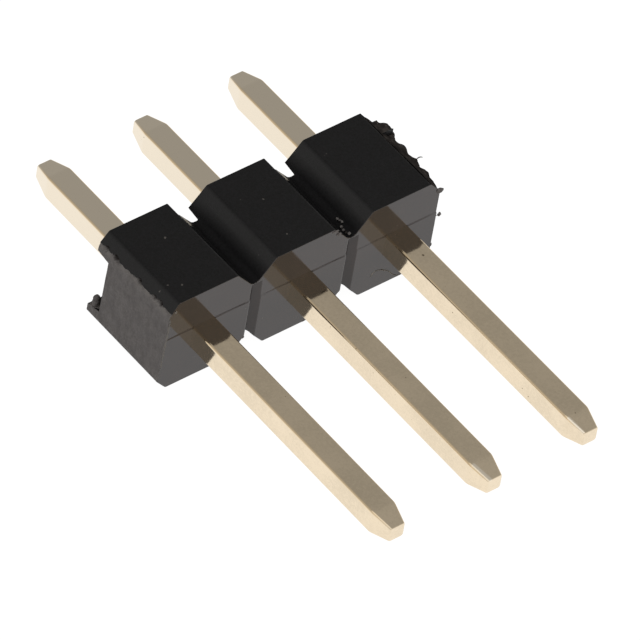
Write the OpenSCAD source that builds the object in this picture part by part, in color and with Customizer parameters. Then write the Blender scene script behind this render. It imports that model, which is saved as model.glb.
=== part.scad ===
// Three-way piece of a break-away pin header strip, lying on one long side.
// X runs along the row, -Y points out of the long posts, +Z is up.
// The origin is the middle of the middle cell's underside.

/* [Row] */
// Distance from one pin to the next
pitch = 2.54; // [2.3:0.01:5.08]
// Height of the moulding from underside to top face
body_h = 2.48; // [2:0.01:6]
// Depth of the moulding along the pins
body_d = 2.44; // [1.5:0.01:8.5]

/* [Break-off notches] */
// Depth of the notch between two cells on the top face
notch_depth = 0.495; // [0.2:0.005:0.6]
// Depth of the notch between two cells on the underside
under_depth = 0.445; // [0.2:0.005:0.6]
// Slope of a notch's sides, in degrees
notch_angle = 49; // [40:1:60]
// Radius of the rounded bottom of a notch
notch_root_r = 0.175; // [0.05:0.005:0.25]
// Radius of the moulded corner where a notch slope meets the face
corner_r = 0.08; // [0.02:0.01:0.15]

/* [Score lines on the front face] */
// Width of the score line between two cells
score_w = 0.28; // [0.1:0.01:0.4]
// Depth of the score line
score_depth = 0.14; // [0.05:0.01:0.3]
// Sideways distance of the score line from the middle of its notch
score_shift = 0.06; // [-0.1:0.01:0.1]
// Distance from the bottom of the upper notch to where the score line starts
score_land = 0.03; // [0:0.01:0.1]
// Length over which the score line comes to its full depth there
score_fade = 0.12; // [0.05:0.01:0.3]

/* [Seating side] */
// Depth of the channel that runs along the seating side
channel_depth = 0.37; // [0.1:0.01:0.8]
// Height of the rim above and below the channel
rim_h = 0.47; // [0.3:0.01:0.6]
// How far each channel wall leans in towards its floor
channel_draft = 0.06; // [0:0.01:0.1]
// Width of the slot that parts the rims of two cells
rim_slot_w = 0.61; // [0.2:0.01:0.8]
// Sideways distance of that slot from the middle of its notch
rim_slot_shift = -0.205; // [-0.3:0.005:0.1]

/* [Pins] */
// Width of the square pin
pin_w = 0.60; // [0.4:0.01:0.8]
// Width of the flat along each long edge of a pin
pin_edge = 0.025; // [0.01:0.005:0.08]
// Height of the pins' middle above the underside
pin_level = 1.22; // [1:0.01:1.6]
// Length of a mating post in front of the front face
post_l = 6.50; // [2:0.1:20]
// Length of a solder tail behind the seating side
tail_l = 3.06; // [1:0.1:12]
// Length of the pointed stretch at each end of a pin
point_l = 0.50; // [0.2:0.05:0.8]
// Width of the flat end of a pin
point_w = 0.375; // [0.1:0.005:0.39]
// Gap between a pin and the wall of its hole, for a pressed-in pin none
pin_gap = 0; // [0:0.005:0.05]

/* [Broken ends] */
// Distance from the first pin to the sheared end face, at the top
shear_x = 0.97; // [0.8:0.01:1.2]
// How far the sheared end face leans out towards the underside
shear_lean = 0.09; // [0:0.01:0.15]
// Distance from the last pin to the snapped end, along the front face
snap_x = 1.06; // [0.8:0.01:1.1]
// How far the torn web stands past the middle of its notch
tear_reach = 0.09; // [0.02:0.005:0.3]
// Distance behind the front face over which the tear comes out to the web's full reach
tear_run = 0.53; // [0.2:0.01:1]
// Height of the lumps along the torn web
tear_lump = 0.045; // [0:0.005:0.06]
// Distance from one lump to the next
tear_pitch = 0.42; // [0.3:0.01:1]
// Distance from the seating side to the crest of the last lump
tear_crest = 0.07; // [0:0.01:0.5]
// Height of the torn scrap left on the snapped end of the upper rim
scrap_h = 0.19; // [0.1:0.01:0.3]
// Distance of that scrap from the seating side
scrap_inset = 0.13; // [0.05:0.01:0.3]
// How far that scrap stands past the middle of its notch
scrap_reach = 0.05; // [0.01:0.01:0.1]

/* [Hidden] */

// The strip was broken off at three cells
cells = 3;
// Cutters run past the faces that they cut by this much
past = 1;

front_y = -body_d / 2;
back_y = body_d / 2;
floor_y = back_y - channel_depth;

first_x = -(cells - 1) / 2 * pitch;
last_x = first_x + (cells - 1) * pitch;
left_notch = first_x - pitch / 2;
right_notch = last_x + pitch / 2;
inner_notches = [for (i = [1 : cells - 1]) left_notch + i * pitch];
all_notches = [for (i = [0 : cells]) left_notch + i * pitch];

// Half the width of a notch's rounded bottom, and how far the rounding rises
root_half = notch_root_r * sin(notch_angle);
root_rise = notch_root_r * (1 - cos(notch_angle));
// Distance from the corner to where its rounding starts
corner_run = corner_r * tan(notch_angle / 2);
corner_steps = 4;
root_steps = 12;

// Depth of the web that joins two cells, from the front face to the channel floor
web_d = body_d - channel_depth;
// Points along the torn edge for each lump
tear_steps = 6;
tear_points = ceil(web_d / tear_pitch * tear_steps);
// The strip reached at least this far before the tear
unbroken_x = right_notch + tear_reach + tear_lump + past;

BLACK = [0.12, 0.12, 0.12];
GOLD = [0.85, 0.74, 0.50];

// Half the width of a notch at the face
function notch_half(depth) = root_half + (depth - root_rise) / tan(notch_angle);

// An outline drawn in X and Z, carried through the depth of the moulding
module along_y(depth)
    translate([0, depth / 2, 0])
        rotate([90, 0, 0])
            linear_extrude(depth) children();

// An outline drawn in Y and Z, carried along the row
module along_x(from_x, to_x)
    translate([from_x, 0, 0])
        rotate([90, 0, 90])
            linear_extrude(to_x - from_x) children();

// Points round the corner between the face and a notch slope, on one side
function corner_arc(side, depth) = [
    for (i = [0 : corner_steps])
        let (turn = notch_angle * (1 - i / corner_steps))
        [
            side * (notch_half(depth) + corner_run - corner_r * sin(turn)),
            depth - corner_r + corner_r * cos(turn)
        ]
];

// Points round the bottom of a notch, from its left slope to its right one
root_arc = [
    for (i = [0 : root_steps])
        let (turn = notch_angle * (2 * i / root_steps - 1))
        [notch_root_r * sin(turn), notch_root_r * (1 - cos(turn))]
];

// One notch, up from its bottom: rounded bottom, two slopes and rounded corners
module notch_outline(depth)
    polygon(concat(
        root_arc,
        corner_arc(1, depth),
        [
            [notch_half(depth) + corner_run, depth + past],
            [-notch_half(depth) - corner_run, depth + past]
        ],
        [for (i = [corner_steps : -1 : 0]) corner_arc(-1, depth)[i]]
    ));

// The notch in the top face and the one in the underside
module notch_pair() {
    translate([0, body_h - notch_depth])
        notch_outline(notch_depth);
    translate([0, under_depth])
        mirror([0, 1])
            notch_outline(under_depth);
}

// The strip from the front: a bar with a pair of notches at each cell's edge
module strip_outline()
    difference() {
        polygon([
            [first_x - shear_x - shear_lean, 0],
            [unbroken_x, 0],
            [unbroken_x, body_h],
            [first_x - shear_x, body_h]
        ]);
        for (x = all_notches)
            translate([x, 0])
                notch_pair();
    }

// The channel from the side, open towards the board
module channel_outline()
    polygon([
        [floor_y, rim_h + channel_draft],
        [floor_y, body_h - rim_h - channel_draft],
        [back_y, body_h - rim_h],
        [back_y + past, body_h - rim_h],
        [back_y + past, rim_h],
        [back_y, rim_h]
    ]);

// A slot through the rims at one notch, down to the channel floor
module rim_slot(notch_x, top_z)
    translate([notch_x + rim_slot_shift - rim_slot_w / 2, floor_y, -past])
        cube([rim_slot_w, channel_depth + past, top_z + past]);

// The slots that part the rims of the cells; the last one left its upper rim torn
module rim_slots() {
    for (x = inner_notches)
        rim_slot(x, body_h + past);
    rim_slot(right_notch, body_h / 2);
}

// The score line's bottom from the side, running out before the upper notch
module score_run()
    polygon([
        [front_y - past, -past],
        [front_y + score_depth + past, -past],
        [front_y + score_depth + past, body_h - notch_depth - score_land - score_fade],
        [front_y + score_depth, body_h - notch_depth - score_land - score_fade],
        [front_y, body_h - notch_depth - score_land],
        [front_y - past, body_h - notch_depth - score_land]
    ]);

// The shallow V between two cells on the front face, where the strip is meant to bend
module score_lines()
    for (x = inner_notches)
        intersection() {
            translate([x + score_shift, front_y, -past])
                linear_extrude(body_h + past)
                    polygon([
                        [0, score_depth],
                        [-score_w / 2, 0],
                        [-score_w / 2, -past],
                        [score_w / 2, -past],
                        [score_w / 2, 0]
                    ]);
            along_x(x - pitch / 2, x + pitch / 2) score_run();
        }

// Square with its four corners cut off
module pin_outline(width, edge)
    polygon([
        for (turn = [0 : 90 : 270], side = [-1, 1])
            let (x = width / 2, y = side * (width / 2 - edge))
            [x * cos(turn) - y * sin(turn), x * sin(turn) + y * cos(turn)]
    ]);

module pin_holes()
    for (i = [0 : cells - 1])
        translate([first_x + i * pitch, 0, pin_level])
            along_y(body_d + 2 * past)
                pin_outline(pin_w + 2 * pin_gap, pin_edge + pin_gap);

// Share of the web's full reach that the tear has come to, at a distance behind the front
function tear_share(run) = 1 - exp(-run / tear_run);

// Where the torn edge of the web stands, at a distance behind the front
function tear_x(run) =
    let (lump = tear_lump * cos(360 * (body_d - tear_crest - run) / tear_pitch))
    let (full = right_notch + tear_reach + lump)
    last_x + snap_x + (full - last_x - snap_x) * tear_share(run);

// The torn end from above: everything past this line has snapped off
module tear_outline()
    polygon(concat(
        [
            for (i = [0 : tear_points])
                let (run = web_d * i / tear_points)
                [tear_x(run), front_y + run]
        ],
        [
            [right_notch + scrap_reach, floor_y],
            [right_notch + scrap_reach, back_y + past],
            [unbroken_x + past, back_y + past],
            [unbroken_x + past, front_y - past],
            [last_x + snap_x, front_y - past]
        ]
    ));

// A scrap of the upper rim that stayed on in the corner of the last notch
module torn_scrap()
    translate([right_notch, back_y - scrap_inset, body_h - notch_depth])
        linear_extrude(scrap_h)
            polygon([
                [-notch_half(notch_depth), 0],
                [-2 * scrap_reach, 0],
                [scrap_reach, -scrap_inset],
                [scrap_reach, -channel_depth],
                [-notch_half(notch_depth), -channel_depth]
            ]);

module body()
    color(BLACK)
        difference() {
            union() {
                along_y(body_d) strip_outline();
                torn_scrap();
            }
            translate([0, 0, -past])
                linear_extrude(body_h + 2 * past)
                    tear_outline();
            along_x(left_notch - past, unbroken_x + past) channel_outline();
            rim_slots();
            score_lines();
            pin_holes();
        }

// Profile of a pin's two tapered ends, across its width and along its length
module pin_profile()
    polygon([
        [-point_w / 2, front_y - post_l],
        [point_w / 2, front_y - post_l],
        [pin_w / 2, front_y - post_l + point_l],
        [pin_w / 2, back_y + tail_l - point_l],
        [point_w / 2, back_y + tail_l],
        [-point_w / 2, back_y + tail_l],
        [-pin_w / 2, back_y + tail_l - point_l],
        [-pin_w / 2, front_y - post_l + point_l]
    ]);

// One square pin, pointed on four sides at both ends
module pin(x)
    color(GOLD)
        translate([x, 0, pin_level])
            intersection() {
                along_y(2 * (body_d + post_l + tail_l)) pin_outline(pin_w, pin_edge);
                translate([0, 0, -pin_w])
                    linear_extrude(2 * pin_w) pin_profile();
                rotate([0, 90, 0])
                    translate([0, 0, -pin_w])
                        linear_extrude(2 * pin_w) pin_profile();
            }

module pin_1() pin(first_x);
module pin_2() pin(first_x + pitch);
module pin_3() pin(last_x);

body();
pin_1();
pin_2();
pin_3();
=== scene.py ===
"""Three cells of a break-away pin header, lying on one long side on a white table.

The frame is the part's own: X along the row of pins, -Y out of the long mating
posts, +Z up, with the origin in the middle of the middle cell's underside, in metres.
"""
import logging
import math
from dataclasses import dataclass
from enum import Enum, IntEnum
from typing import Iterable, Sequence

import bmesh
import bpy
from mathutils import Matrix, Vector, noise


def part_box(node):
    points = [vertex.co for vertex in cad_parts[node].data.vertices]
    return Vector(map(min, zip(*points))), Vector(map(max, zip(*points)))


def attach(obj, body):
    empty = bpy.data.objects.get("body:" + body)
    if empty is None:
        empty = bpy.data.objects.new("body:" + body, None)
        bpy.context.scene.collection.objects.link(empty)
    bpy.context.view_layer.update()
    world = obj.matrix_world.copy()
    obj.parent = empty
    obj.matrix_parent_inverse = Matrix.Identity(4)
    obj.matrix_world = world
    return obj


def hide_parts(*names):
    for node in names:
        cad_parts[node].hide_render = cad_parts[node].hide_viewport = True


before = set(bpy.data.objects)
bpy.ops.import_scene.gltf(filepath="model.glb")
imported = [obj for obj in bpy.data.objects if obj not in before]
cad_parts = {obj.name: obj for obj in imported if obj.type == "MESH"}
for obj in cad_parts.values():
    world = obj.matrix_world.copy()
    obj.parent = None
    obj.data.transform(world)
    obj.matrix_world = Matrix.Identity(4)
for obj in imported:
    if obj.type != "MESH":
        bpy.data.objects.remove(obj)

LOG = logging.getLogger("pin_header")

BMesh = bmesh.types.BMesh
Socket = bpy.types.NodeSocket
Pair = tuple[float, float]
# The two ends of a range
Span = Pair
Point = tuple[float, float, float]

# One millimetre in the scene's metres
MM = 0.001
# Vertices closer than this are one vertex
WELD = 1e-5 * MM
# Points closer than this to a level lie on it
NEAR = 1e-4 * MM
# Faces of the moulding that differ by less than this angle are one flat face
FLAT_ANGLE = math.radians(0.6)
# Edges sharper than this are rounded over, or drawn as a crease
CREASE_ANGLE = math.radians(25)
# Rounded edges are shaded smooth over bends up to this angle
ROUND_ANGLE = math.radians(40)
# Broken and soft surfaces are shaded smooth over bends up to this angle
SOFT_ANGLE = math.radians(60)
# Range in which most of a noise pattern's values lie
NOISE_RANGE = (0.3, 0.7)
# Patches with and without specks are this many times as wide as the specks' spacing
SPECK_PATCHES = 2.5
# How fast such a patch thins out at its edge, in the noise pattern's values
SPECK_EDGE = 0.05
# Mesh layer that says how worn or stretched a point of the surface is; below zero it
# darkens the broken plastic, as painted shade in chips and creases and as a darker
# tone on some crumbs
WEAR_AND_SHADE = "wear_and_shade"
# A body of a row with no joints
ROOT = "root"
PIN_NUMBERS = (1, 2, 3)


class Zone(IntEnum):
    """How a patch of the strip's surface came about, and its material slot."""

    SKIN = 0
    POLISHED = 1
    SHEARED = 2
    TORN = 3
    DUST = 4


MOULDED = (Zone.SKIN, Zone.POLISHED)


class Slot(Enum):
    """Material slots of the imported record."""

    MOULDING = "moulding"
    PLATED_PIN = "plated_pin"


def linear(hex_colour: str) -> tuple[float, float, float, float]:
    """Turn an sRGB colour into the linear values that shaders take.

    Args:
        hex_colour: The colour as "#RRGGBB".

    Returns:
        Red, green, blue and an alpha of 1, linear.
    """
    parts = [int(hex_colour[i:i + 2], 16) / 255 for i in (1, 3, 5)]
    low = [p / 12.92 if p <= 0.04045 else ((p + 0.055) / 1.055) ** 2.4 for p in parts]
    return (low[0], low[1], low[2], 1.0)


def per_metre(size_mm: float) -> float:
    """Give the texture scale at which one cell measures size_mm."""
    return 1 / (size_mm * MM)


# ---- Finishes


@dataclass(frozen=True)
class Pattern:
    """A soft noise pattern: its widest patches, and the finer ones laid over them."""

    size_mm: float
    # How many finer ones there are, and how strong
    detail: float = 4.0
    strength: float = 0.6


@dataclass(frozen=True)
class Specks:
    """Small scattered specks: their usual spacing, their size and their number."""

    size_mm: float
    # Radius of a speck's core and of its edge, as shares of the spacing
    reach: Span
    # The higher, the fewer places have a speck
    rarity: float


class Draft:
    """The node tree of a material or a world in the making."""

    def __init__(self, owner: bpy.types.Material | bpy.types.World) -> None:
        """Empty the owner's tree and find the places that it shades.

        Args:
            owner: The material or the world.
        """
        owner.use_nodes = True
        self.owner = owner
        self.tree = owner.node_tree
        self.tree.nodes.clear()
        self.places = self.add("TexCoord").outputs
        self.place = self.places["Object"]

    def add(self, kind: str, options: dict | None = None) -> bpy.types.Node:
        """Add a node.

        Args:
            kind: The node's type after "ShaderNode", such as "TexNoise".
            options: Values by the name of the node's property, or by the name or
                number of its input. A socket is linked to the input.

        Returns:
            The new node.
        """
        node = self.tree.nodes.new("ShaderNode" + kind)
        for name, value in (options or {}).items():
            if isinstance(value, Socket):
                self.tree.links.new(value, node.inputs[name])
            elif isinstance(name, str) and hasattr(node, name):
                setattr(node, name, value)
            else:
                node.inputs[name].default_value = value
        return node

    def combine(self, operation: str, one: Socket, other: Socket | float) -> Socket:
        """Combine two values."""
        return self.add("Math", {"operation": operation, 0: one, 1: other}).outputs[0]

    def vectors(self, operation: str, options: dict) -> Sequence[Socket]:
        """Work on vectors, and give the vector and the "Value" that come out."""
        return self.add("VectorMath", {"operation": operation, **options}).outputs

    def ramp(self, value: Socket, given: Span, wanted: Span = (0.0, 1.0)) -> Socket:
        """Turn one range of values into another, and hold the ends."""
        return self.add("MapRange", {
            "From Min": given[0], "From Max": given[1],
            "To Min": wanted[0], "To Max": wanted[1], "Value": value,
        }).outputs["Result"]

    def blend(self, share: Socket, first: str | Socket, second: str) -> Socket:
        """Mix two colours.

        Args:
            share: The share of the second colour.
            first: The first colour, written out or from an earlier mix.
            second: The second colour, written out.

        Returns:
            The mixed colour.
        """
        base = linear(first) if isinstance(first, str) else first
        options = {"data_type": "RGBA", 0: share, 6: base, 7: linear(second)}
        return self.add("Mix", options).outputs[2]

    def pattern(self, kind: Pattern, place: Socket | None = None) -> Socket:
        """Draw a noise pattern.

        Args:
            kind: The pattern.
            place: The place on the surface, where it isn't the plain one.

        Returns:
            The pattern's value.
        """
        return self.add("TexNoise", {
            "Vector": self.place if place is None else place, "Detail": kind.detail,
            "Roughness": kind.strength, "Scale": per_metre(kind.size_mm),
        }).outputs["Fac"]

    def drawn_out(self, kind: Pattern, length_mm: float, axis: int) -> Socket:
        """Draw a noise pattern whose patches are drawn out into streaks.

        Args:
            kind: The pattern, with the streaks' width as its size.
            length_mm: The streaks' length.
            axis: The axis along which they run.

        Returns:
            The pattern's value.
        """
        scale = [kind.size_mm / length_mm if i == axis else 1.0 for i in range(3)]
        drawn = self.add("Mapping", {"Scale": scale, "Vector": self.place})
        return self.pattern(kind, drawn.outputs["Vector"])

    def specks(self, kind: Specks) -> Socket:
        """Scatter specks, with a value of 1 on a speck and 0 elsewhere."""
        near = self.add(
            "TexVoronoi", {"Scale": per_metre(kind.size_mm), "Vector": self.place}
        ).outputs["Distance"]
        dots = self.ramp(near, (kind.reach[1], kind.reach[0]))
        patches = self.pattern(Pattern(kind.size_mm * SPECK_PATCHES, 1.0))
        few = self.ramp(patches, (kind.rarity, kind.rarity + SPECK_EDGE))
        return self.combine("MULTIPLY", dots, few)

    def wear_and_shade(self) -> Socket:
        """Read how worn or stretched the mesh is, and below zero how much painted shade
        or darker tone it gets.
        """
        return self.add("Attribute", {"attribute_name": WEAR_AND_SHADE}).outputs["Fac"]

    def bump(self, height: Socket, height_mm: float) -> Socket:
        """Raise the surface by a pattern of that height."""
        return self.add(
            "Bump", {"Strength": 1.0, "Distance": height_mm * MM, "Height": height}
        ).outputs["Normal"]


@dataclass(frozen=True)
class Mark:
    """A speck, scratch or pit at a set place, too thin to stand off the surface."""

    start: Point
    end: Point
    radius: float
    # Its core, at full strength, is this many times smaller
    core: float = 3.0

    def share(self, draft: Draft) -> Socket:
        """Give 1 on the mark, falling to 0 at its radius."""
        start, end = Vector(self.start) * MM, Vector(self.end) * MM
        run = end - start
        way = run / max(run.length_squared, WELD * WELD)
        offset = draft.vectors("SUBTRACT", {0: draft.place, 1: start})[0]
        along = draft.vectors("DOT_PRODUCT", {0: offset, 1: way})["Value"]
        along = draft.ramp(along, (0.0, 1.0))
        step = draft.vectors("SCALE", {0: run, "Scale": along})[0]
        gap = draft.vectors("DISTANCE", {0: offset, 1: step})["Value"]
        return draft.ramp(gap, (self.radius * MM, self.radius * MM / self.core))


@dataclass(frozen=True)
class Finish:
    """A finish of the strip's surface."""

    name: str = "finish"

    def surface(self, draft: Draft) -> dict:
        """Draw the finish and say what each input of the surface shader gets."""
        raise NotImplementedError

    def material(self) -> bpy.types.Material:
        """Build the material."""
        draft = Draft(bpy.data.materials.new(self.name))
        shader = draft.add("BsdfPrincipled", self.surface(draft))
        draft.add("OutputMaterial", {"Surface": shader.outputs["BSDF"]})
        return draft.owner


@dataclass(frozen=True)
class MouldedSkin(Finish):
    """Black PBT, injection moulded against lightly blasted steel.

    It gives the eye a soft black with a fine grain, faint clouds from the
    melt's flow, a few pale specks of dust and one short scratch. Its reflection
    is weakened towards the notches' bottoms and on the flat tops: painted shade.
    """

    name: str = "black_pbt_matt"
    black: str = "#000000"
    grey: str = "#121114"
    dust: str = "#5E5A56"
    ior: float = 1.38
    roughness: Span = (0.22, 0.32)
    # The steel that forms the notches is rougher towards their bottoms; there the
    # reflection is also weakened, which is painted shade
    notch_levels: Span = (2.29 * MM, 2.05 * MM)
    notch_roughness: float = 0.45
    notch_painted_shade: Span = (1.0, 0.5)
    # The flat tops reflect less than the slopes: painted shade
    top_levels: Span = (2.47 * MM, 2.42 * MM)
    top_painted_shade: Span = (0.47, 0.62)
    clouds: Pattern = Pattern(0.6)
    # The real grain is about half this size, too fine for the picture's pixels
    grain: Pattern = Pattern(0.05, 2.0, 0.7)
    grain_height_mm: float = 0.0012
    specks: Specks = Specks(0.12, (0.08, 0.16), 0.68)
    marks: tuple[Mark, ...] = (
        Mark((-2.438, 0.443, 2.48), (-2.425, 0.455, 2.48), 0.030),
        Mark((-2.950, -0.806, 2.48), (-2.94, -0.80, 2.48), 0.026),
        Mark((0.002, 0.283, 2.48), (0.01, 0.27, 2.48), 0.022),
        Mark((-0.187, -0.775, 2.48), (-0.18, -0.77, 2.48), 0.022),
        Mark((-3.392, -0.639, 2.37), (-3.198, -0.657, 2.48), 0.020),
    )

    def surface(self, draft: Draft) -> dict:
        """Draw the skin."""
        clouds, grain = draft.pattern(self.clouds), draft.pattern(self.grain)
        colour = draft.blend(draft.ramp(grain, NOISE_RANGE), self.black, self.grey)
        dusty = draft.combine("MULTIPLY", draft.specks(self.specks), grain)
        colour = draft.blend(dusty, colour, self.dust)
        for mark in self.marks:
            colour = draft.blend(mark.share(draft), colour, self.dust)
        level = draft.add("SeparateXYZ", {0: draft.place}).outputs["Z"]
        gloss = draft.ramp(clouds, NOISE_RANGE, self.roughness)
        rougher = draft.ramp(level, self.notch_levels, (0.0, self.notch_roughness))
        # Painted shade: the reflection is weakened towards the notches' bottoms and on
        # the flat tops
        shaded_shine = draft.combine(
            "MULTIPLY", draft.ramp(level, self.notch_levels, self.notch_painted_shade),
            draft.ramp(level, self.top_levels, self.top_painted_shade),
        )
        return {
            "IOR": self.ior, "Base Color": colour, "Specular IOR Level": shaded_shine,
            "Roughness": draft.combine("ADD", gloss, rougher),
            "Normal": draft.bump(grain, self.grain_height_mm),
        }


@dataclass(frozen=True)
class PolishedMould(Finish):
    """Black PBT, injection moulded against polished steel.

    It gives the eye a deep black that mirrors the pins and the table sharply,
    with faint clouds from the melt's flow. Its base colour is a warm brown, lighter
    than the other faces' black: painted light that brightens the front faces.
    """

    name: str = "black_pbt_polished_and_painted_light"
    # Painted light: these warm browns are lighter than the black plastic, to brighten
    # the front faces
    black: str = "#332927"
    cloud_and_painted_light: str = "#3A2F2C"
    dust: str = "#75716C"
    ior: float = 1.5
    roughness: Span = (0.07, 0.12)
    clouds: Pattern = Pattern(0.5)
    grain: Pattern = Pattern(0.06, 2.0, 0.7)
    grain_height_mm: float = 0.0003
    specks: Specks = Specks(0.15, (0.06, 0.12), 0.62)

    def surface(self, draft: Draft) -> dict:
        """Draw the polished skin."""
        clouds, grain = draft.pattern(self.clouds), draft.pattern(self.grain)
        colour = draft.blend(draft.ramp(clouds, NOISE_RANGE), self.black, self.cloud_and_painted_light)
        dusty = draft.combine("MULTIPLY", draft.specks(self.specks), grain)
        return {
            "IOR": self.ior, "Base Color": draft.blend(dusty, colour, self.dust),
            "Roughness": draft.ramp(clouds, NOISE_RANGE, self.roughness),
            "Normal": draft.bump(grain, self.grain_height_mm),
        }


@dataclass(frozen=True)
class BrokenPbt(Finish):
    """Black PBT where a blade or a bend parted it.

    The broken skin scatters light, so the eye gets a dull grey with fine
    mottling and soft streaks, paler where the plastic was stretched most.
    Below zero the mesh's layer darkens it: painted shade in chips and creases,
    and a darker tone on some crumbs.
    """

    name: str = "black_pbt_sheared"
    # Painted shade in chips and creases, and the darker tone of some crumbs
    shade_and_dark_tone: str = "#262120"
    dark: str = "#5D5958"
    pale: str = "#7B7776"
    stretched: str = "#807C79"
    fleck: str = "#8E8A87"
    ior: float = 1.5
    sheen: float = 0.25
    roughness: Span = (0.5, 0.7)
    mottle: Pattern = Pattern(0.35, 5.0, 0.65)
    streak: Pattern = Pattern(0.15, 3.0)
    streak_length_mm: float = 0.28
    # The real grain is finer, but the picture's pixels can't show it
    grain: Pattern = Pattern(0.045, 4.0, 0.75)
    grain_height_mm: float = 0.004
    # Range of the three patterns' product over which the tone goes from dark to pale
    tones: Span = (0.06, 0.19)
    # Range of the grain over which a fleck stands out
    flecks: Span = (0.66, 0.74)

    def surface(self, draft: Draft) -> dict:
        """Draw the broken plastic."""
        mottle, grain = draft.pattern(self.mottle), draft.pattern(self.grain)
        streak = draft.drawn_out(self.streak, self.streak_length_mm, 2)
        tone = draft.combine("MULTIPLY", mottle, streak)
        tone = draft.combine("MULTIPLY", tone, grain)
        colour = draft.blend(draft.ramp(tone, self.tones), self.dark, self.pale)
        wear_and_shade = draft.wear_and_shade()
        colour = draft.blend(draft.ramp(wear_and_shade, (0.0, 1.0)), colour, self.stretched)
        # Painted shade: below zero the layer darkens chips and the tear's crease, and
        # some crumbs' tone
        colour = draft.blend(draft.ramp(wear_and_shade, (0.0, -1.0)), colour, self.shade_and_dark_tone)
        colour = draft.blend(draft.ramp(grain, self.flecks), colour, self.fleck)
        return {
            "IOR": self.ior, "Base Color": colour, "Specular IOR Level": self.sheen,
            "Roughness": draft.ramp(mottle, NOISE_RANGE, self.roughness),
            "Normal": draft.bump(grain, self.grain_height_mm),
        }


@dataclass(frozen=True)
class Lint(Finish):
    """Pale lint and crumbs of plastic caught on the strip.

    It gives the eye small dull warm-grey bits, uneven in tone.
    """

    name: str = "pale_lint"
    dark: str = "#6E6962"
    pale: str = "#A8A29A"
    roughness: float = 0.85
    mottle: Pattern = Pattern(0.04)
    mottle_height_mm: float = 0.01
    tones: Span = (0.35, 0.65)

    def surface(self, draft: Draft) -> dict:
        """Draw the lint."""
        mottle = draft.pattern(self.mottle)
        tone = draft.ramp(mottle, self.tones)
        return {
            "Base Color": draft.blend(tone, self.dark, self.pale),
            "Roughness": self.roughness,
            "Normal": draft.bump(mottle, self.mottle_height_mm),
        }


@dataclass(frozen=True)
class GoldFlash(Finish):
    """A thin gold flash over nickel, plated on drawn square brass wire.

    The eye gets a pale straw-coloured metal that mirrors the table, with faint
    lines along the wire from the drawing die, a browner tone on the worn
    arrises, a few dark pits and a scraped streak on two of the points.
    """

    name: str = "gold_flash_on_nickel"
    gold: str = "#EBDABF"
    thin_gold: str = "#E0D0B6"
    tail_gold: str = "#EBDFCB"
    worn: str = "#E6CFAB"
    pit: str = "#6A5B45"
    scraped: str = "#FBF0DD"
    # Between these places along Y, where the moulding hides it, the gold turns paler
    tail_from: Span = (-1.0 * MM, 1.5 * MM)
    roughness: Span = (0.05, 0.10)
    scrape_roughness: float = 0.3
    clouds: Pattern = Pattern(0.9)
    grain: Pattern = Pattern(0.06, 2.0, 0.7)
    # Range of both patterns' product over which the gold goes from thick to thin
    tones: Span = (0.16, 0.34)
    # The die's real lines are finer than the picture's pixels
    lines: Pattern = Pattern(0.03, 3.0)
    line_length_mm: float = 1.5
    line_height_mm: float = 0.0003
    pits: Specks = Specks(0.16, (0.07, 0.11), 0.63)
    # Streaks on the points of two mating posts
    scrapes: tuple[Mark, ...] = (
        Mark((-0.223, -7.272, 1.51), (-0.120, -7.689, 1.42), 0.06),
        Mark((2.289, -7.270, 1.51), (2.355, -7.669, 1.42), 0.05),
    )
    # A larger pit on the third post, near the moulding
    large_pit: Mark = Mark((2.568, -2.056, 1.52), (2.569, -2.066, 1.52), 0.030)

    def surface(self, draft: Draft) -> dict:
        """Draw the plating."""
        clouds, grain = draft.pattern(self.clouds), draft.pattern(self.grain)
        lines = draft.drawn_out(self.lines, self.line_length_mm, 1)
        tone = draft.ramp(draft.combine("MULTIPLY", clouds, grain), self.tones)
        colour = draft.blend(tone, self.gold, self.thin_gold)
        depth = draft.add("SeparateXYZ", {0: draft.place}).outputs["Y"]
        colour = draft.blend(draft.ramp(depth, self.tail_from), colour, self.tail_gold)
        colour = draft.blend(draft.wear_and_shade(), colour, self.worn)
        gloss = draft.ramp(grain, NOISE_RANGE, self.roughness)
        for scrape in self.scrapes:
            share = scrape.share(draft)
            colour = draft.blend(share, colour, self.scraped)
            rougher = draft.ramp(share, (0.0, 1.0), (0.0, self.scrape_roughness))
            gloss = draft.combine("ADD", gloss, rougher)
        for pits in (draft.specks(self.pits), self.large_pit.share(draft)):
            colour = draft.blend(pits, colour, self.pit)
        return {
            "Metallic": 1.0, "Base Color": colour, "Roughness": gloss,
            "Normal": draft.bump(lines, self.line_height_mm),
        }


# ---- Mesh work


def new_piece(
    name: str,
    mesh: BMesh,
    materials: Sequence[bpy.types.Material],
    normals: Sequence[Vector] = (),
) -> bpy.types.Object:
    """Make an object of a finished mesh.

    Args:
        name: The piece's name.
        mesh: Its mesh, which is freed.
        materials: Its materials, by their place in the mesh's faces.
        normals: The shading normal of each corner of each face, if given.

    Returns:
        The object, linked to the scene.
    """
    data = bpy.data.meshes.new(name)
    mesh.to_mesh(data)
    mesh.free()
    for material in materials:
        data.materials.append(material)
    if normals:
        data.normals_split_custom_set(normals)
    piece = bpy.data.objects.new(name, data)
    bpy.context.scene.collection.objects.link(piece)
    return piece


def is_flat(face: bmesh.types.BMFace, narrowest: float) -> bool:
    """Tell a flat face from the narrow strips that make up a rounded edge."""
    longest = max(edge.calc_length() for edge in face.edges)
    return face.calc_area() > narrowest * longest


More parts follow.
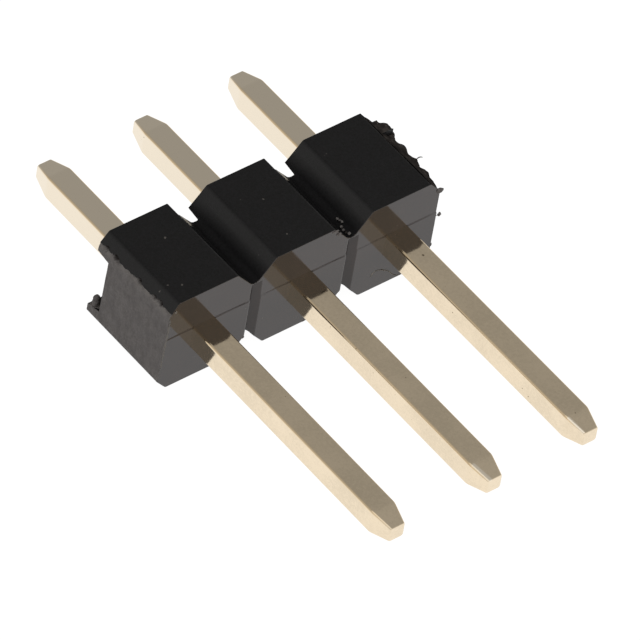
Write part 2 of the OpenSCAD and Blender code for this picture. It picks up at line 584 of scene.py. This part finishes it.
def corner_normals(mesh: BMesh, narrowest: float) -> list[Vector]:
    """Give shading normals that keep flat faces flat and round the strips between them.

    Args:
        mesh: The mesh, whose broken zones are shaded soft all over.
        narrowest: Faces narrower than this belong to a rounded edge.

    Returns:
        The shading normal of each corner of each face.
    """
    mesh.normal_update()
    mesh.faces.index_update()
    flat = [f.material_index in MOULDED and is_flat(f, narrowest) for f in mesh.faces]
    areas = [f.calc_area() for f in mesh.faces]
    normals = []
    for face in mesh.faces:
        for vert in face.verts:
            if flat[face.index]:
                normals.append(face.normal.copy())
                continue
            moulded = face.material_index in MOULDED
            limit = math.cos(ROUND_ANGLE if moulded else SOFT_ANGLE)
            near = [
                f for f in vert.link_faces
                if f.normal.dot(face.normal) > limit
                and (f.material_index in MOULDED) == moulded
            ]
            leaders = [f for f in near if flat[f.index]]
            if leaders:
                best = max(leaders, key=lambda f: f.normal.dot(face.normal))
                normals.append(best.normal.copy())
            else:
                total = sum((f.normal * areas[f.index] for f in near), Vector())
                if total.length == 0:
                    total = face.normal
                normals.append(total.normalized())
    return normals


def zone_faces(mesh: BMesh, zone: Zone) -> list[bmesh.types.BMFace]:
    """List the faces of a zone."""
    return [f for f in mesh.faces if f.material_index == zone]


def refine(mesh: BMesh, zone: Zone, longest: float, passes: int = 9) -> None:
    """Cut the faces of a zone into small triangles.

    Edges are only split, so the faces beside the zone stay whole and flat.

    Args:
        mesh: The mesh.
        zone: The zone whose faces are cut.
        longest: No edge of the zone stays longer than this.
        passes: The most rounds of splitting.
    """
    for _ in range(passes):
        long_edges = [
            e for e in mesh.edges
            if any(f.material_index == zone for f in e.link_faces)
            and e.calc_length() > longest
        ]
        if not long_edges:
            break
        for edge in long_edges:
            bmesh.utils.edge_split(edge, edge.verts[0], 0.5)
        bmesh.ops.triangulate(mesh, faces=zone_faces(mesh, zone))
        inner = [
            e for e in mesh.edges
            if all(f.material_index == zone for f in e.link_faces)
            and e.calc_face_angle(math.pi) < CREASE_ANGLE
        ]
        bmesh.ops.beautify_fill(mesh, faces=zone_faces(mesh, zone), edges=inner)


def ripple(place: Vector, size: float, octaves: int = 3) -> float:
    """Give a steady noise of about -1 to 1 whose widest waves measure size."""
    return noise.fractal(place / size, 1.0, 2.0, octaves)


def held(value: float, lowest: float = 0.0, highest: float = 1.0) -> float:
    """Hold a value between two limits."""
    return min(highest, max(lowest, value))


@dataclass(frozen=True)
class Crumb:
    """A small uneven lump of plastic or lint, in millimetres."""

    place: Point
    size: Point
    unevenness: float
    wear_and_shade: float = 0.0
    # Above 1 the lump is blunter than an egg
    bluntness: float = 1.0
    zone: Zone = Zone.SHEARED
    rounds: int = 3
    # Width of its waves, as a share of its radius
    wave: float = 0.8

    def add(self, mesh: BMesh) -> None:
        """Add the lump to a mesh."""
        centre = Vector(self.place) * MM
        layer = mesh.verts.layers.float[WEAR_AND_SHADE]
        made = bmesh.ops.create_icosphere(
            mesh, subdivisions=self.rounds, radius=1.0
        )["verts"]
        for vert in made:
            way = vert.co.copy()
            reach = 1 + self.unevenness * ripple(way + centre / MM, self.wave)
            vert.co = centre + Vector(
                math.copysign(abs(w) ** (1 / self.bluntness), w) * s * MM * reach
                for w, s in zip(way, self.size)
            )
            vert[layer] = self.wear_and_shade
        for face in {f for v in made for f in v.link_faces}:
            face.material_index = self.zone
            face.smooth = True


@dataclass(frozen=True)
class Strand:
    """A thin thread or curl of plastic or lint along a path, in millimetres."""

    path: tuple[Point, ...]
    radius: float
    zone: Zone = Zone.DUST
    sides: int = 7
    steps: int = 5
    unevenness: float = 0.3
    wave: float = 0.1
    # Steps past each end at which it would have thinned out to nothing
    tip: float = 0.6

    def points(self) -> list[Vector]:
        """Give the points of the smooth curve through the path."""
        knots = [Vector(p) * MM for p in self.path]
        knots = [2 * knots[0] - knots[1], *knots, 2 * knots[-1] - knots[-2]]
        points = []
        for before, start, end, after in zip(knots, knots[1:], knots[2:], knots[3:]):
            for step in range(self.steps):
                t = step / self.steps
                points.append(0.5 * (
                    2 * start + (end - before) * t
                    + (2 * before - 5 * start + 4 * end - after) * t ** 2
                    + (3 * start - before - 3 * end + after) * t ** 3
                ))
        return [*points, knots[-2]]

    def add(self, mesh: BMesh) -> None:
        """Add the strand to a mesh, as a tube that thins out at both ends."""
        points = self.points()
        last = len(points) - 1
        rings = []
        for index, point in enumerate(points):
            way = points[min(index + 1, last)] - points[max(index - 1, 0)]
            turn = way.to_track_quat("Z", "Y")
            share = (index + self.tip) / (last + 2 * self.tip)
            reach = 1 + self.unevenness * ripple(point / MM, self.wave, 2)
            reach *= self.radius * MM * math.sqrt(math.sin(math.pi * share))
            rings.append([
                mesh.verts.new(point + turn @ Vector((
                    reach * math.cos(math.tau * k / self.sides),
                    reach * math.sin(math.tau * k / self.sides), 0,
                )))
                for k in range(self.sides)
            ])
        faces = [mesh.faces.new(rings[0][::-1]), mesh.faces.new(rings[-1])]
        for near, far in zip(rings, rings[1:]):
            for k in range(self.sides):
                m = (k + 1) % self.sides
                faces.append(mesh.faces.new((near[k], near[m], far[m], far[k])))
        for face in faces:
            face.material_index = self.zone
            face.smooth = True


# ---- The object


@dataclass(frozen=True)
class Insulator:
    """The black moulding: three cells, sheared at one end and torn at the other."""

    node: str = "body"
    edge_radius: float = 0.018 * MM
    edge_steps: int = 3
    narrowest: float = 0.045 * MM
    # Corners nearer to each other than this are made one before edges are rounded
    shortest: float = 0.009 * MM
    # The webs' far edges, behind this depth and between these levels, are left sharp
    web_back: float = 0.8 * MM
    web_levels: Span = (1.9 * MM, 2.12 * MM)
    # Room round a pin within which an edge of the moulding is its hole's
    hole_room: float = 0.001 * MM
    # The upper part of each front face stands this far back behind the parting line
    parting_level: float = 1.485 * MM
    parting_rise: float = 0.030 * MM
    parting_step: float = 0.020 * MM
    front_depth: float = 0.3 * MM
    # Least share of a face's normal for it to face a way, to lean that way, to turn
    # to the torn end and to slope at all, and the most that an upright face rises
    facing: float = 0.9
    leaning: float = 0.5
    turned: float = 0.2
    sloping: float = 0.1
    upright: float = 0.3
    # The sheared end: where it starts, its upper edge and how its face is broken up
    sheared_x: float = -3.45 * MM
    shear_top: float = 2.24 * MM
    shear_grain: float = 0.08 * MM
    shear_relief: float = 0.003 * MM
    edge_relief: float = 0.045 * MM
    edge_grain: float = 0.2 * MM
    edge_reach: float = 0.07 * MM
    shear_octaves: int = 4
    # The pale band below that edge: its height, and its strength and how that varies
    pale_band: float = 0.14 * MM
    pale_levels: Span = (0.6, 0.7)
    # Chips out of its upper edge: place along Y and reach, in millimetres
    chips: tuple[Pair, ...] = (
        (1.01, 0.09), (0.67, 0.11), (-0.10, 0.08), (-0.62, 0.07), (-0.80, 0.10),
    )
    chip_depth: float = 0.09 * MM
    chip_limit: float = 0.2 * MM
    # How many times as long as high the chips are, how uneven and how sharp-edged
    chip_length: float = 1.3
    chip_unevenness: float = 0.4
    chip_sharpness: int = 4
    # How much the chips are darkened: painted shade in their hollows
    chip_shade: float = 2.0
    # The torn end: where it starts and how its lumps are broken up
    torn_x: float = 3.55 * MM
    last_slope_x: float = 3.3 * MM
    web_low: float = 0.4 * MM
    web_high: float = 2.47 * MM
    web_x: float = 3.6 * MM
    tear_rounds: int = 30
    tear_factor: float = 0.5
    tear_grain: float = 0.24 * MM
    tear_relief: float = 0.035 * MM
    # Between these levels the tear darkens up to the crease beside the flat top:
    # painted shade
    crease_low: float = 2.34 * MM
    crease_high: float = 2.46 * MM
    crease_shade: float = 1.5
    # Over this depth behind the front face its relief grows from this share to full
    tear_start: float = 0.4 * MM
    tear_least: float = 0.1
    mesh_size: float = 0.035 * MM
    crumbs: tuple[Crumb, ...] = (
        # Knob that the blade left on the lower rim, and the smeared rim round its foot
        Crumb((-3.500, 1.060, 0.595), (0.085, 0.075, 0.150), 0.12, -0.15),
        Crumb((-3.497, 1.060, 0.705), (0.080, 0.072, 0.090), 0.12, -0.3),
        Crumb((-3.495, 1.030, 0.475), (0.090, 0.170, 0.040), 0.3, -0.1, 1.3),
        # Balls of torn plastic at the snapped end
        Crumb((3.590, -1.195, 2.150), (0.090, 0.050, 0.060), 0.3, -0.1),
        Crumb((3.705, -1.20, 1.37), (0.045, 0.035, 0.045), 0.5, 0.6),
        Crumb((3.612, -1.20, 0.52), (0.035, 0.03, 0.05), 0.4, -0.3),
        # Burrs on the lower edges of the front face
        Crumb((0.282, -1.212, 0.025), (0.05, 0.02, 0.022), 0.4, 0.5, rounds=2),
        Crumb((2.810, -1.212, 0.04), (0.05, 0.02, 0.025), 0.4, 0.2, rounds=2),
        Crumb((-1.378, -1.212, 0.43), (0.04, 0.02, 0.03), 0.4, rounds=2),
        # Pale bits in the notch and on the front edge of the middle cell
        Crumb((1.310, -0.65, 2.025), (0.026, 0.030, 0.024), 0.6, 0.1),
        Crumb((1.325, -0.71, 2.025), (0.028, 0.026, 0.024), 0.6, -0.5),
        Crumb((1.340, -0.77, 2.030), (0.024, 0.030, 0.022), 0.6, 0.1),
        Crumb((1.247, -0.87, 2.015), (0.030, 0.028, 0.026), 0.6, 0.2),
        Crumb((1.212, -0.98, 2.035), (0.026, 0.030, 0.024), 0.6, -0.2),
        Crumb((1.221, -1.06, 2.030), (0.026, 0.024, 0.022), 0.3, zone=Zone.TORN),
        Crumb((1.266, -1.11, 2.020), (0.036, 0.034, 0.034), 0.3, 0.1),
        Crumb((0.880, -1.205, 2.290), (0.060, 0.022, 0.028), 0.5, 0.1),
        Crumb((0.780, -1.205, 2.415), (0.080, 0.020, 0.024), 0.5, 0.1),
        # Bright crumb at the corner of the sheared face, and flecks down its edge
        Crumb((-3.391, -1.223, 2.277), (0.030, 0.014, 0.034), 0.3,
              zone=Zone.DUST, rounds=2),
        Crumb((-3.512, -1.218, 2.02), (0.020, 0.010, 0.10), 0.35, 1.0),
        Crumb((-3.522, -1.218, 1.82), (0.024, 0.012, 0.14), 0.35, 1.0),
        Crumb((-3.530, -1.218, 1.58), (0.022, 0.012, 0.15), 0.35, 1.0),
        Crumb((-3.540, -1.218, 1.33), (0.024, 0.012, 0.15), 0.35, 1.0),
        Crumb((-3.550, -1.218, 1.08), (0.022, 0.012, 0.14), 0.35, 1.0),
        Crumb((-3.560, -1.218, 0.82), (0.018, 0.010, 0.12), 0.35, 1.0),
    )
    strands: tuple[Strand, ...] = (
        # Thread between the torn edge and its flake
        Strand((
            (3.600, -1.21, 1.40), (3.65, -1.215, 1.39), (3.70, -1.21, 1.375),
        ), 0.016, Zone.SHEARED),
        # Wisp on the torn web
        Strand((
            (3.80, -0.14, 2.02), (3.86, -0.18, 2.10), (3.90, -0.24, 2.13),
        ), 0.014, Zone.TORN),
        # Pale curl low on the last front face
        Strand((
            (1.997, -1.221, 0.417), (2.087, -1.222, 0.519), (2.252, -1.222, 0.49),
            (2.493, -1.222, 0.33), (2.692, -1.222, 0.102), (2.886, -1.222, 0.02),
        ), 0.015),
    )
    skin: MouldedSkin = MouldedSkin()
    polished: PolishedMould = PolishedMould()
    sheared: BrokenPbt = BrokenPbt()
    # The torn end's darkest colour is painted shade at its crease
    torn: BrokenPbt = BrokenPbt(
        name="black_pbt_torn", shade_and_dark_tone="#0C0B0B", dark="#2C2928", pale="#3C3836",
        stretched="#57524F", fleck="#7A746E", sheen=0.0, flecks=(0.64, 0.72),
        grain=Pattern(0.09, 4.0, 0.75), grain_height_mm=0.006,
    )
    lint: Lint = Lint()

    def build(self) -> bpy.types.Object:
        """Build the moulding from the CAD solid and dress it."""
        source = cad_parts[self.node]
        mesh = bmesh.new()
        mesh.from_mesh(source.data)
        bmesh.ops.remove_doubles(mesh, verts=mesh.verts, dist=WELD)
        bmesh.ops.dissolve_limit(
            mesh, angle_limit=FLAT_ANGLE, verts=mesh.verts, edges=mesh.edges,
        )
        bmesh.ops.remove_doubles(mesh, verts=mesh.verts, dist=self.shortest)
        mesh.verts.layers.float.new(WEAR_AND_SHADE)
        self.mark_zones(mesh)
        self.round_edges(mesh)
        self.step_front(mesh)
        self.roughen(mesh)
        for detail in (*self.crumbs, *self.strands):
            detail.add(mesh)
        self.keep_inside(mesh)
        normals = corner_normals(mesh, self.narrowest)
        finishes = (self.skin, self.polished, self.sheared, self.torn, self.lint)
        piece = new_piece(
            "insulator", mesh, [finish.material() for finish in finishes], normals
        )
        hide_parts(self.node)
        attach(piece, ROOT)
        return piece

    def keep_inside(self, mesh: BMesh) -> None:
        """Hold every point between the CAD solid's ends and under its top."""
        low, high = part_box(self.node)
        for vert in mesh.verts:
            vert.co.x = held(vert.co.x, low[0], high[0])
            vert.co.z = held(vert.co.z, low[2], high[2])

    def mark_zones(self, mesh: BMesh) -> None:
        """Give each face the zone that it belongs to."""
        front = min(v.co.y for v in mesh.verts)
        for face in mesh.faces:
            centre, normal = face.calc_center_median(), face.normal
            face.material_index = Zone.SKIN
            if normal.y < -self.leaning and centre.y < front + self.front_depth:
                face.material_index = Zone.POLISHED
            if normal.x < -self.facing and centre.x < self.sheared_x:
                face.material_index = Zone.SHEARED
            end = abs(normal.z) < self.upright and normal.x > self.turned
            slope = normal.z > self.sloping and normal.x > self.sloping
            above = slope and centre.x > self.last_slope_x
            web = normal.z > self.leaning and centre.x > self.web_x
            level = self.web_low < centre.z < self.web_high
            if end and centre.x > self.torn_x or (above or web) and level:
                face.material_index = Zone.TORN

    def round_edges(self, mesh: BMesh) -> None:
        """Round the moulded outer edges, but not the pin holes' and the broken ones."""
        pins = [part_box(f"pin_{number}") for number in PIN_NUMBERS]
        room = self.hole_room

        def in_hole(place: Vector) -> bool:
            """Tell whether a point lies in line with a pin."""
            return any(
                low[0] - room < place.x < high[0] + room
                and low[2] - room < place.z < high[2] + room
                for low, high in pins
            )

        edges = [
            e for e in mesh.edges
            if len(e.link_faces) == 2
            and e.is_convex
            and e.calc_face_angle(0) > CREASE_ANGLE
            and all(f.material_index in MOULDED for f in e.link_faces)
            and not all(in_hole(v.co) for v in e.verts)
            and not all(self.is_web_back(v.co) for v in e.verts)
        ]
        bmesh.ops.bevel(
            mesh, geom=edges, offset=self.edge_radius, offset_type="OFFSET",
            segments=self.edge_steps, profile=0.5, affect="EDGES",
            clamp_overlap=False, material=-1,
        )
        bmesh.ops.remove_doubles(mesh, verts=mesh.verts, dist=WELD)

    def is_web_back(self, place: Vector) -> bool:
        """Tell the sharp far edges of the webs between the cells."""
        low, high = self.web_levels
        return place.y > self.web_back and low < place.z < high

    def step_front(self, mesh: BMesh) -> None:
        """Cut the parting line's small step into the front faces."""
        front = min(v.co.y for v in mesh.verts)
        top = self.parting_level + self.parting_rise
        for level in (self.parting_level, top):
            bmesh.ops.bisect_plane(
                mesh, geom=[*mesh.verts, *mesh.edges, *mesh.faces],
                plane_co=(0, 0, level), plane_no=(0, 0, 1), dist=WELD,
            )
        for vert in mesh.verts:
            if vert.co.z > top - NEAR and vert.co.y < front + self.front_depth:
                vert.co.y += self.parting_step

    def roughen(self, mesh: BMesh) -> None:
        """Break up the sheared face and the tear with real relief."""
        front = min(v.co.y for v in mesh.verts)
        for zone in (Zone.SHEARED, Zone.TORN):
            refine(mesh, zone, self.mesh_size)
        torn = [
            v for v in mesh.verts
            if v.link_faces and all(f.material_index == Zone.TORN for f in v.link_faces)
        ]
        for _ in range(self.tear_rounds):
            bmesh.ops.smooth_vert(
                mesh, verts=torn, factor=self.tear_factor,
                use_axis_x=True, use_axis_y=True, use_axis_z=True,
            )
        mesh.normal_update()
        wear_and_shade = mesh.verts.layers.float[WEAR_AND_SHADE]
        moves = []
        for vert in mesh.verts:
            zones = {f.material_index for f in vert.link_faces}
            skins = [
                f.normal.copy() for f in vert.link_faces if f.material_index in MOULDED
            ]
            if Zone.SHEARED in zones:
                push = self.shear_push(vert.co)
                vert[wear_and_shade] = self.shear_wear_and_shade(vert.co)
            elif Zone.TORN in zones:
                share = held((vert.co.y - front) / self.tear_start, self.tear_least)
                push = share * self.tear_push(vert.co, vert.normal)
                vert[wear_and_shade] = self.tear_wear_and_shade(vert.co)
            else:
                continue
            for normal in skins:
                push -= normal * push.dot(normal)
            moves.append((vert, push))
        for vert, push in moves:
            vert.co += push

    def below_edge(self, place: Vector) -> float:
        """Say how far a point lies below the sheared face's upper edge."""
        return max(0.0, self.shear_top - place.z)

    def shear_push(self, place: Vector) -> Vector:
        """Say how far a point of the sheared face lies in from its flat plane."""
        below = self.below_edge(place)
        fine = 1 + ripple(place, self.shear_grain, self.shear_octaves)
        wide = 1 + ripple(place, self.edge_grain, self.shear_octaves)
        near_edge = math.exp(-(below / self.edge_reach) ** 2)
        push = self.shear_relief * fine + self.edge_relief * near_edge * wide
        return Vector((push + self.chip_depth * self.chip_share(place), 0, 0))

    def chip_share(self, place: Vector) -> float:
        """Say how far a point of the sheared face lies in a chip, from 0 to 1."""
        below = self.below_edge(place)
        share = 0.0
        if below > self.chip_limit:
            return share
        uneven = 1 + self.chip_unevenness * ripple(place, self.shear_grain / 2)
        for y, reach in self.chips:
            gap = Vector((place.y - y * MM, below * self.chip_length)).length * uneven
            share = max(share, math.exp(-(gap / (reach * MM)) ** self.chip_sharpness))
        return share

    def shear_wear_and_shade(self, place: Vector) -> float:
        """Say how far the plastic was stretched at a point of the sheared face, less
        the painted shade in its chips.
        """
        below = self.below_edge(place)
        band = math.exp(-(below / self.pale_band) ** 2)
        level, change = self.pale_levels
        worn = band * held(level + change * ripple(place, self.pale_band))
        return worn - self.chip_shade * self.chip_share(place)

    def tear_push(self, place: Vector, normal: Vector) -> Vector:
        """Say how far a point of the torn surface lies off its smooth place."""
        return normal * self.tear_relief * ripple(place, self.tear_grain)

    def tear_wear_and_shade(self, place: Vector) -> float:
        """Say how far the plastic was stretched at a point of the torn surface, less
        the painted shade near its crease.
        """
        crease = (place.z - self.crease_low) / (self.crease_high - self.crease_low)
        stretch = max(0.0, ripple(place, self.tear_grain / 2))
        return stretch - self.crease_shade * held(crease)


@dataclass(frozen=True)
class SquarePin:
    """One square pin, pointed on four sides at both ends."""

    number: int
    width: float = 0.60 * MM
    end_width: float = 0.375 * MM
    point_length: float = 0.50 * MM
    edge_radius: float = 0.055 * MM
    edge_steps: int = 6
    shoulder_blend: float = 0.05 * MM
    end_radius: float = 0.02 * MM
    # The rounded edge of each end: shares of its radius along the pin and inwards
    end_curve: tuple[Pair, ...] = ((0.0, 1.0), (0.3, 0.3), (1.0, 0.0))
    # The rounded shoulder: shares of its blend along the pin
    shoulder_curve: tuple[float, ...] = (-1, -0.5, 0, 0.5, 1, 2)
    spacing: float = 0.25 * MM
    narrowest: float = 0.03 * MM
    plating: GoldFlash = GoldFlash()

    def stations(self, low_y: float, high_y: float) -> list[Pair]:
        """Give the places along the pin and its half width at each.

        Args:
            low_y: Where the mating post ends.
            high_y: Where the solder tail ends.

        Returns:
            Pairs of a place along Y and a half width, in order.
        """
        half, end = self.width / 2, self.end_width / 2
        slope = (half - end) / self.point_length

        def half_width(run: float) -> float:
            """Half width at a distance from the nearer end."""
            straight = end + slope * run
            soft = self.shoulder_blend * slope
            gap = max(soft - abs(half - straight), 0.0) / soft
            return min(half, straight) - gap * gap * soft / 4

        runs = [(run * self.end_radius, fall * self.end_radius)
                for run, fall in self.end_curve]
        runs.append((self.point_length / 2, 0.0))
        runs += [(self.point_length + k * self.shoulder_blend, 0.0)
                 for k in self.shoulder_curve]
        front = [(low_y + run, half_width(run) - fall) for run, fall in runs]
        back = [(high_y - run, half_width(run) - fall) for run, fall in reversed(runs)]
        inner = back[0][0] - front[-1][0]
        count = round(inner / self.spacing)
        straight = [(front[-1][0] + inner * i / count, half) for i in range(1, count)]
        return [*front, *straight, *back]

    def ring(self, half: float) -> list[Point]:
        """Give the points of a rounded square and how worn its arris is at each."""
        radius = min(self.edge_radius, half)
        points = []
        for corner in range(4):
            middle = math.radians(90 * corner + 45)
            cx = math.copysign(half - radius, math.cos(middle))
            cz = math.copysign(half - radius, math.sin(middle))
            for step in range(self.edge_steps + 1):
                share = step / self.edge_steps
                turn = math.radians(90 * (corner + share))
                points.append((
                    cx + radius * math.cos(turn), cz + radius * math.sin(turn),
                    math.sin(math.pi * share),
                ))
        return points

    def build(self) -> bpy.types.Object:
        """Build the pin where its CAD solid stands and plate it."""
        node = f"pin_{self.number}"
        low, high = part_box(node)
        centre_x, centre_z = (low[0] + high[0]) / 2, (low[2] + high[2]) / 2
        mesh = bmesh.new()
        wear_and_shade = mesh.verts.layers.float.new(WEAR_AND_SHADE)
        rings = []
        for y, half in self.stations(low[1], high[1]):
            verts = []
            from_end = min(y - low[1], high[1] - y)
            for x, z, worn in self.ring(half):
                vert = mesh.verts.new((centre_x + x, y, centre_z + z))
                vert[wear_and_shade] = worn * min(1.0, from_end / self.point_length)
                verts.append(vert)
            rings.append(verts)
        count = len(rings[0])
        for near, far in zip(rings, rings[1:]):
            for i in range(count):
                j = (i + 1) % count
                mesh.faces.new((near[i], near[j], far[j], far[i]))
        mesh.faces.new(rings[0][::-1])
        mesh.faces.new(rings[-1])
        bmesh.ops.recalc_face_normals(mesh, faces=mesh.faces)
        normals = corner_normals(mesh, self.narrowest)
        piece = new_piece(f"plated_{node}", mesh, [self.plating.material()], normals)
        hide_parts(node)
        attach(piece, ROOT)
        return piece


@dataclass(frozen=True)
class HeaderStrip:
    """The whole strip: the moulding and its three pins."""

    insulator: Insulator = Insulator()
    pins: tuple[SquarePin, ...] = tuple(SquarePin(number) for number in PIN_NUMBERS)

    def build(self) -> None:
        """Build every piece."""
        for part in (self.insulator, *self.pins):
            piece = part.build()
            LOG.info("%s: %d faces", piece.name, len(piece.data.polygons))


# ---- The studio


@dataclass(frozen=True)
class Lamp:
    """A round soft lamp that points at the strip, in metres and watts."""

    name: str
    place: Point
    size: float
    watts: float

    def build(self) -> None:
        """Hang the lamp."""
        data = bpy.data.lights.new(self.name, "AREA")
        data.shape = "DISK"
        data.size = self.size
        data.energy = self.watts
        lamp = bpy.data.objects.new(self.name, data)
        place = Vector(self.place)
        turn = place.to_track_quat("Z", "Y").to_matrix().to_4x4()
        lamp.matrix_world = Matrix.Translation(place) @ turn
        bpy.context.scene.collection.objects.link(lamp)


@dataclass(frozen=True)
class Studio:
    """A white table under a soft lamp, in a pale grey room."""

    table_size: float = 3.0
    table_drop: float = 0.002 * MM
    table_colour: str = "#666666"
    table_glow: float = 0.975
    glow_colour: str = "#FFFFFF"
    room_colour: str = "#FFFDF9"
    room_level: float = 0.716
    # How the room's level changes along X, Y and Z
    room_slope: Point = (-0.145, -0.197, -0.25)
    lamps: tuple[Lamp, ...] = (Lamp("left_hand_lamp", (-0.34, 0.0, 0.83), 0.9, 0.8),)

    def table_material(self) -> bpy.types.Material:
        """Build the white table top: matt, with a glow that only the eye sees."""
        draft = Draft(bpy.data.materials.new("white_table"))
        matt = draft.add("BsdfDiffuse", {"Color": linear(self.table_colour)}).outputs[0]
        path = draft.add("LightPath").outputs
        seen = draft.combine("MAXIMUM", path["Is Camera Ray"], path["Is Glossy Ray"])
        seen = draft.combine("MAXIMUM", seen, path["Is Transmission Ray"])
        level = draft.combine("MULTIPLY", seen, self.table_glow)
        glow = {"Color": linear(self.glow_colour), "Strength": level}
        light = draft.add("Emission", glow).outputs[0]
        both = draft.add("AddShader", {0: matt, 1: light}).outputs[0]
        draft.add("OutputMaterial", {"Surface": both})
        return draft.owner

    def build_table(self) -> None:
        """Build the table top under the strip."""
        mesh = bmesh.new()
        half = self.table_size / 2
        bmesh.ops.create_grid(mesh, x_segments=8, y_segments=8, size=half)
        for vert in mesh.verts:
            vert.co.z = -self.table_drop
        table = new_piece("table", mesh, [self.table_material()])

    def build_room(self) -> None:
        """Light the room: grey behind the strip, paler on the side of the posts."""
        world = bpy.data.worlds.new("pale_room")
        bpy.context.scene.world = world
        draft = Draft(world)
        slope = {0: draft.places["Generated"], 1: self.room_slope}
        change = draft.vectors("DOT_PRODUCT", slope)["Value"]
        level = draft.combine("ADD", change, self.room_level)
        light = {"Color": linear(self.room_colour), "Strength": level}
        draft.add("OutputWorld", {"Surface": draft.add("Background", light).outputs[0]})

    def build(self) -> None:
        """Build the table and the light."""
        self.build_table()
        self.build_room()
        for lamp in self.lamps:
            lamp.build()


@dataclass(frozen=True)
class PhotoCamera:
    """The camera that took the photograph, solved from the strip's own corners."""

    place: Point = (-98.760 * MM, -99.559 * MM, 143.128 * MM)
    right: Point = (0.78255793, -0.60991689, 0.12491788)
    up: Point = (0.37513906, 0.62207786, 0.68723346)
    back: Point = (-0.49686394, -0.49093841, 0.71561561)
    focal_px: float = 9616.1
    image_px: float = 640.0
    sensor_mm: float = 36.0
    nearest: float = 0.02

    def build(self) -> None:
        """Set the camera up and make it the scene's own."""
        data = bpy.data.cameras.new("photo_camera")
        data.sensor_width = self.sensor_mm
        data.lens = self.focal_px / self.image_px * self.sensor_mm
        data.clip_start = self.nearest
        camera = bpy.data.objects.new("photo_camera", data)
        turn = Matrix((self.right, self.up, self.back)).transposed()
        camera.matrix_world = Matrix.Translation(self.place) @ turn.to_4x4()
        bpy.context.scene.collection.objects.link(camera)
        bpy.context.scene.camera = camera


def main() -> None:
    """Build the strip, the studio and the camera in order."""
    logging.basicConfig(level=logging.INFO, format="%(message)s")
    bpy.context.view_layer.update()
    PhotoCamera().build()
    HeaderStrip().build()
    Studio().build()
    bpy.context.scene.view_settings.view_transform = "Standard"


if __name__ == "__main__":
    main()
